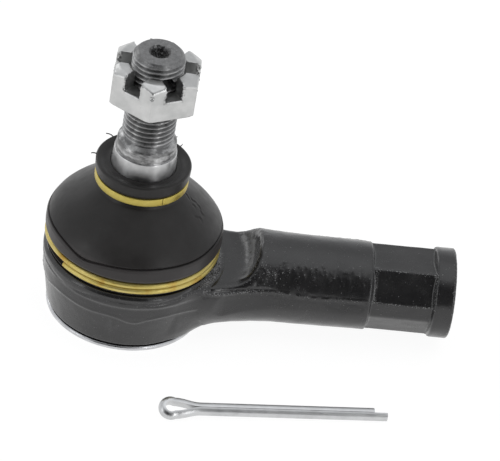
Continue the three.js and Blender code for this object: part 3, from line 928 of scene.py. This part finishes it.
def drill_across(stud):
    """Cuts the split pin's hole, in line with one of the nut's slots."""
    turn = Matrix.Rotation(NUT_TURN + math.pi / 6, 4, "Z") @ Matrix.Rotation(math.pi / 2, 4, "X")
    place = Matrix.Translation((0, 0, PIN_HOLE_Z * MM)) @ turn
    size = {"radius1": PIN_HOLE_R * MM, "radius2": PIN_HOLE_R * MM, "depth": 20 * MM}
    drill = bpy.data.meshes.new("drill")
    bm = bmesh.new()
    bmesh.ops.create_cone(bm, cap_ends=True, segments=40, matrix=place, **size)
    bm.to_mesh(drill)
    bm.free()
    cutter = bpy.data.objects.new("drill", drill)
    bpy.context.scene.collection.objects.link(cutter)
    cut = stud.modifiers.new("drill", "BOOLEAN")
    cut.object = cutter
    cut.operation = "DIFFERENCE"
    cut.solver = "EXACT"
    bpy.context.view_layer.update()
    made = bpy.data.meshes.new_from_object(stud.evaluated_get(bpy.context.evaluated_depsgraph_get()))
    stud.modifiers.clear()
    stud.data = made
    bpy.data.objects.remove(cutter)


# ---- castle nut ----
def nut_sides(x, y):
    """How far out the nearest of the six sides is, and how far away the nearest slot's middle is."""
    apart, slots = -1e9, 1e9
    for k in range(3):
        a = NUT_TURN + math.radians(60 * k)
        apart = np.maximum(apart, np.abs(x * math.cos(a) + y * math.sin(a)))
        slots = np.minimum(slots, np.abs(-x * math.sin(a) + y * math.cos(a)))
    return apart, slots


def nut_field(x, y, z):
    low, high, half = NUT_LOW[2], NUT_HIGH[2], NUT_AF / 2
    around = np.hypot(x, y)
    apart, slots = nut_sides(x, y)
    body = soft_max(apart - half, (z - high) * 0.9 + (around - half + 0.6) * 0.52, 0.5)
    body = soft_max(body, (low - z) * 0.86 + (around - half - 1.0) * 0.5, 0.15)
    body = soft_max(body, np.maximum(low - z, z - high), 0.12)
    body = np.maximum(body, around - half / math.cos(math.pi / 6) + 0.03)
    body = soft_max(body, -soft_max(slots - NUT_SLOT_WIDTH / 2, NUT_SLOT_FLOOR_Z - z, 0.25), 0.12)
    knock = NUT_TURN - math.pi / 2
    dent_x, dent_y, dent_z = 10.9 * math.cos(knock), 10.9 * math.sin(knock), 66.3
    body = np.maximum(body, 0.55 - np.sqrt((x - dent_x) ** 2 + (y - dent_y) ** 2 + (z - dent_z) ** 2))
    phase = z / THREAD_PITCH - np.arctan2(y, x) / (2 * math.pi)
    wall = THREAD_R + 0.12 - (THREAD_DEPTH - 0.1) * (1 - thread_profile(phase + 0.5))
    flare = np.maximum(low + 1 - z, z - high + 0.8)
    wall = np.maximum(np.maximum(wall, THREAD_R + 0.12), THREAD_R + flare)
    return soft_max(body, wall - around, 0.1)


def make_nut():
    points, faces = contour(nut_field, NUT_LOW - 0.5, NUT_HIGH + 0.5, 0.17)
    x, y, z = points.T
    near_slot = np.abs(nut_sides(x, y)[1] - NUT_SLOT_WIDTH / 2)
    burr = bell(near_slot, 0, 0.35) * (z > NUT_SLOT_FLOOR_Z - 0.4) * rise(np.hypot(x, y), 8.6, 0.6)
    height = wobble(points, 3.0, 11) * 0.03 + wobble(points, 0.8, 12) * 0.012
    height += np.maximum(wobble(points, 0.6, 13) + 0.15, 0) * 0.28 * burr
    points = points + outward(nut_field, points, 0.08) * height[:, None]
    points = np.clip(points, NUT_LOW - 0.3, NUT_HIGH + 0.2)
    nut = make_object("six_slot_nut", points, faces, nut_zinc())
    add_value(nut, "wear", np.clip(burr * (0.25 + wobble(points, 0.7, 14)) * 1.6, 0, 1))
    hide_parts("castle_nut")
    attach(nut, "nut")


# ---- dust boot ----
def boot_side(z):
    """The dome's outer radius at a height."""
    t = (z - BOOT_SKIRT_Z) / (BOOT_NECK_Z - BOOT_SKIRT_Z)
    return BOOT_R * (BOOT_NECK_R / BOOT_R) ** (t * t)


def boot_outline():
    """The boot's section from its foot, up the outside, over the lip and down the inside."""
    low, high, grip = LOW_RING_LOW[2], LOW_RING_HIGH[2], LOW_RING_HIGH[0] - 1.75
    level, crease = BOOT_CREASE_Z, boot_side(BOOT_CREASE_Z)
    outside = smooth_rows([
        (BOOT_FOOT_R, SHOULDER_Z + 0.3), (19.5, SHOULDER_Z + 0.3), (19.5, low - 0.3), (grip, low - 0.2),
        (grip, high + 0.2), (BOOT_R - 0.55, high + 0.3), (BOOT_R - 0.05, high + 0.9),
        (BOOT_R - 0.08, BOOT_SKIRT_Z + 0.3), (crease + 0.3, level - 0.6),
    ], 0.3, 4, 0.25)
    outside += smooth_rows([
        (crease + 0.26, level - 0.5), (crease + 0.12, level - 0.02), (crease - 0.5, level),
        (crease - 0.46, level + 0.14), (boot_side(level + 0.5) + 0.03, level + 0.5),
    ], 0.1, 3, 0.12)
    dome = [(boot_side(z), z) for z in np.linspace(level + 0.6, BOOT_NECK_Z, 46)]
    low, high = TOP_RING_LOW[2], TOP_RING_HIGH[2]
    lip = smooth_rows([
        (10.0, BOOT_NECK_Z + 0.15), (NECK_GROOVE_R, low - 0.5), (NECK_GROOVE_R, high + 0.2),
        (10.5, high + 0.1), (LIP_R - 0.1, high + 0.7), (LIP_R, LIP_Z - 0.4), (LIP_R - 0.35, LIP_Z),
        (9.7, LIP_Z - 0.2), (8.6, LIP_Z - 0.75), (7.47, LIP_Z - 0.5), (7.6, LIP_Z - 2.5), (8.1, 36.0),
    ], 0.4, 5, 0.2)
    inside = [(boot_side(z) - BOOT_WALL, z - 0.9) for z in np.linspace(BOOT_NECK_Z - 0.6, BOOT_SKIRT_Z, 30)]
    foot = smooth_rows([inside[-1], (BOOT_FOOT_R, 21.8), (BOOT_FOOT_R, SHOULDER_Z + 0.5)], 0.3, 3, 0.5)
    return outside + dome + lip + inside + foot[1:]


# small creases that the mould leaves on the dome: angle and height of the middle, lean, length
CREASES = (
    (-12.6, 31.4, 0.5, 2.2), (-23.0, 31.0, -0.4, 1.6), (-9.0, 33.0, 0.6, 1.4), (-12.0, 34.2, -0.3, 1.2),
    (-17.0, 32.6, 0.3, 1.0),
)


def crease_shift(angle, z):
    """How far the crease over the skirt wanders up or down from its mean height."""
    lift = bell(angle, -22, 20) + 0.3 * np.sin(np.radians(angle * 4))
    return (0.9 * lift - 1.1 * bell(angle, -127, 13)) * bell(z, BOOT_CREASE_Z, 1.3)


def boot_skin(points):
    """Fine unevenness of the moulding, and a few short creases pressed into the dome."""
    x, y, z = points.T
    around = np.hypot(x, y)
    angle = np.degrees(np.arctan2(y, x))
    outer = around > np.where(z < BOOT_NECK_Z, boot_side(z) - 0.7, NECK_GROOVE_R - 0.2)
    dome = outer & (z > BOOT_CREASE_Z + 0.6) & (z < BOOT_NECK_Z)
    height = (wobble(points, 6.0, 21) * 0.06 + wobble(points, 1.7, 22) * 0.015) * outer
    for centre, level, lean, length in CREASES:
        along = z - level
        curve = lean * along + 0.45 * np.sin(along * 3.4 + centre)
        side = np.radians((angle - centre + 180) % 360 - 180) * around - curve
        beyond = (np.abs(along) / (length / 2)) ** 2
        height -= 0.20 * bell(side, 0, 0.16) * np.clip(1.2 - beyond, 0, 1) * dome
        height += 0.09 * bell(side, 0.34, 0.22) * np.clip(1.1 - beyond, 0, 1) * dome
    out = np.stack([x, y, 0.35 * around], 1)
    out /= np.linalg.norm(out, axis=1)[:, None]
    moved = points + out * height[:, None]
    moved[:, 2] += crease_shift(angle, z) * outer
    return moved


# rubber flash on the lip's edge: angle round the lip, length, lift and curl
WHISKERS = ((131.0, 2.1, 0.1, 0.3), (173.4, 1.6, 0.0, 0.3), (56.0, 2.5, 0.1, -0.2), (40.0, 1.3, 0.0, 0.2))


def whisker(angle, length, lift, curl):
    """A thin tapered tail of rubber that stands out from the lip's edge."""
    a = math.radians(angle)
    t = np.linspace(0, 1, 9)
    out = 10.5 + length * t
    side = curl * length * t * t
    x = out * math.cos(a) - side * math.sin(a)
    y = out * math.sin(a) + side * math.cos(a)
    z = LIP_Z - 0.3 + lift * t + 0.1 * np.sin(5 * t + angle)
    return sweep(np.stack([x, y, z], 1), round_section(0.15, 6), width=1 - 0.85 * t**1.5)


def split_rows(rows):
    """The outline's rows in two closed parts that meet at the split height."""
    above = [i for i, (r, z) in enumerate(rows) if z > BOOT_SPLIT_Z]
    side = boot_side(BOOT_SPLIT_Z)
    outer, inner = (side, BOOT_SPLIT_Z), (side - BOOT_WALL, BOOT_SPLIT_Z)
    lower = rows[:above[0]] + [outer, inner] + rows[above[-1] + 1:]
    upper = [outer] + rows[above[0]:above[-1] + 1] + [inner]
    return lower, upper


def shade_seam(obj):
    """Gives the cut's outer points the undivided boot's normals, so that the parts shade as one."""
    x, y, z = places(obj).T
    radius = np.hypot(x, y)
    seam = (np.abs(z - BOOT_SPLIT_Z) < 0.12) & (radius > boot_side(BOOT_SPLIT_Z) - 0.6)
    step = 0.05
    slope = (boot_side(BOOT_SPLIT_Z + step) - boot_side(BOOT_SPLIT_Z - step)) / (2 * step)
    out = np.stack([x / radius, y / radius, np.full(len(x), -slope)], 1)
    normals = np.array([n.vector for n in obj.data.vertex_normals])
    normals[seam] = out[seam] / math.hypot(1, slope)
    obj.data.normals_split_custom_set_from_vertices(normals.tolist())


def add_rest_place(obj):
    """Keeps each point's place at rest, so that the rubber's grain moves with it."""
    layer = obj.data.attributes.new("rest_place", "FLOAT_VECTOR", "POINT")
    layer.data.foreach_set("vector", np.array([v.co for v in obj.data.vertices]).ravel())


def make_boot():
    material = boot_rubber()
    made = []
    for name, rows in zip(("boot_lower", "boot_upper"), split_rows(boot_outline())):
        points, faces = revolve(rows, 288)
        points = boot_skin(points)
        if name == "boot_upper":
            points, faces = merge_shells((points, faces), *[whisker(*w) for w in WHISKERS])
        obj = make_object(name, points, faces, material)
        add_rest_place(obj)
        shade_seam(obj)
        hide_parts("dust_boot")
        made.append(obj)
    lower, upper = made
    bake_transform(lower)
    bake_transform(upper)


# ---- clamp rings ----
def make_lower_ring():
    """Round wire in two turns. It climbs from the lower turn to the upper one at the left."""
    r = (LOW_RING_HIGH[2] - LOW_RING_LOW[2]) / 4
    middle = LOW_RING_HIGH[0] - r
    first_end, last_end = -142, 536
    turned = np.linspace(0, last_end - first_end, 420)
    angle = np.radians(turned + first_end)
    climb = rise(turned, 298, 58)
    level = LOW_RING_LOW[2] + r + 2 * r * climb * climb * (3 - 2 * climb)
    path = np.stack([middle * np.cos(angle), middle * np.sin(angle), level], 1)
    points, faces = sweep(path, round_section(r * 0.985, 16))
    ring = make_object("coiled_clamp_ring", points, faces, yellow_zinc("yellow_zinc", (0.54, 0.44, 0.13)))
    sharpen(ring, 60)
    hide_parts("lower_clamp_ring")
    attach(ring, "housing")


def make_upper_ring():
    """A flat band with a butt joint at the front right."""
    low, high, outer = TOP_RING_LOW[2], TOP_RING_HIGH[2], 10.72
    inside = 9.85 - outer
    corners = [(inside, low), (0, low), (0.03, (low + high) / 2), (0, high), (inside, high), (inside, low)]
    section = smooth_rows(corners, 0.22, 4, 0.3)[:-1]
    joint, half_gap = math.radians(-63.8), 0.08 / outer
    angles = np.linspace(joint + half_gap, joint + 2 * math.pi - half_gap, 240)
    points = [((outer + s) * math.cos(a), (outer + s) * math.sin(a), z) for a in angles for s, z in section]
    material = yellow_zinc("yellow_band", (0.52, 0.42, 0.095))
    ring = make_object("neck_clamp_ring", points, tube_faces(len(angles), len(section)), material)
    sharpen(ring, 60)
    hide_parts("upper_clamp_ring")
    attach(ring, "boot_neck")


# ---- split pin ----
def soft_step(p, q):
    """The points between two others on a soft S."""
    t = np.linspace(0, 1, 9)[1:-1]
    return list(zip(p[0] + (q[0] - p[0]) * t, p[1] + (q[1] - p[1]) * t * t * (3 - 2 * t)))


def pin_path():
    """The wire's middle line seen from above, from one leg's end round the eye to the other's."""
    half = PIN_R * 0.5 + 0.05
    eye_x, eye_r = 2.75, 2.75 - PIN_R * 0.5
    near = [(x, -half) for x in np.linspace(PIN_LENGTH, PIN_LEGS_X, 60)]
    far = [(x, half) for x in np.linspace(PIN_LEGS_X, PIN_LENGTH - 3, 58)]
    around = np.radians(np.linspace(-62, -298, 40))
    loop = [(eye_x + eye_r * math.cos(a), eye_r * math.sin(a)) for a in around]
    path = near + soft_step(near[-1], loop[0]) + loop + soft_step(loop[-1], far[0]) + far
    return [(x, y, 0) for x, y in path]


def make_split_pin():
    """Half-round wire, whose flat sides face each other between the legs."""
    half_round = np.radians(np.linspace(90, -90, 15))
    section = [(PIN_R * 0.5 - PIN_R * math.cos(a), PIN_R * 0.94 * math.sin(a)) for a in half_round]
    points, faces = sweep(pin_path(), section)
    turn = np.array(Euler((PIN_LEAN, PIN_SLOPE, PIN_ANGLE), "XYZ").to_matrix())
    pin = make_object("split_pin_wire", points @ turn.T + np.array(PIN_EYE), faces, pin_steel())
    sharpen(pin, 40)
    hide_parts("split_pin")
    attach(pin, "split_pin")


# ---- floor and light ----
def make_floor():
    far = 3000
    corners = [(-far, -far, 0), (far, -far, 0), (far, far, 0), (-far, far, 0)]
    floor = make_object("floor", corners, [(0, 1, 2, 3)], pale_floor())
    floor.location.z = -0.02 * MM


def make_world():
    """A white room, brightest overhead and dark round the place the camera stands at."""
    world = bpy.data.worlds.new("studio")
    world.use_nodes = True
    m = Nodes(world.node_tree)
    m.place = m.add("TexCoord").outputs["Generated"]
    towards = m.add("VectorMath")
    towards.operation = "DOT_PRODUCT"
    m.feed(towards.inputs[0], m.place)
    m.feed(towards.inputs[1], Vector((-0.10, -0.88, 0.46)).normalized())
    dark = m.add("MapRange", From_Min=0.70, From_Max=0.90, To_Min=1, To_Max=0.03)
    dark.interpolation_type = "SMOOTHSTEP"
    m.feed(dark.inputs["Value"], towards.outputs["Value"])
    sky = m.ramp(m.axis(2), (0.0, 0.60), (0.3, 0.52), (0.6, 0.45), (0.8, 0.52), (1.0, 0.80))
    background = m.nodes["Background"]
    m.feed(background.inputs["Strength"], m.times(dark.outputs["Result"], sky))
    m.feed(background.inputs["Color"], (1.60, 1.62, 1.65))
    bpy.context.scene.world = world


def area_light(name, place, size, power):
    """A lamp that looks at the middle of the object."""
    data = bpy.data.lights.new(name, "AREA")
    data.shape = "RECTANGLE"
    data.size, data.size_y = size
    data.energy = power
    light = bpy.data.objects.new(name, data)
    light.location = place
    light.rotation_mode = "QUATERNION"
    light.rotation_quaternion = (Vector((0.02, 0, 0.03)) - Vector(place)).to_track_quat("-Z", "Y")
    bpy.context.scene.collection.objects.link(light)


make_housing()
make_inner_pieces()
make_stud()
make_nut()
make_boot()
make_lower_ring()
make_upper_ring()
make_split_pin()
make_floor()
make_world()
area_light("left", (-0.60, -0.30, 0.20), (0.10, 0.5), 0.38)
area_light("right", (0.45, -0.55, 0.20), (0.10, 0.5), 0.7)
area_light("back", (-0.45, 0.60, 0.42), (0.30, 0.2), 0.45)
bpy.context.scene.view_settings.view_transform = "Standard"
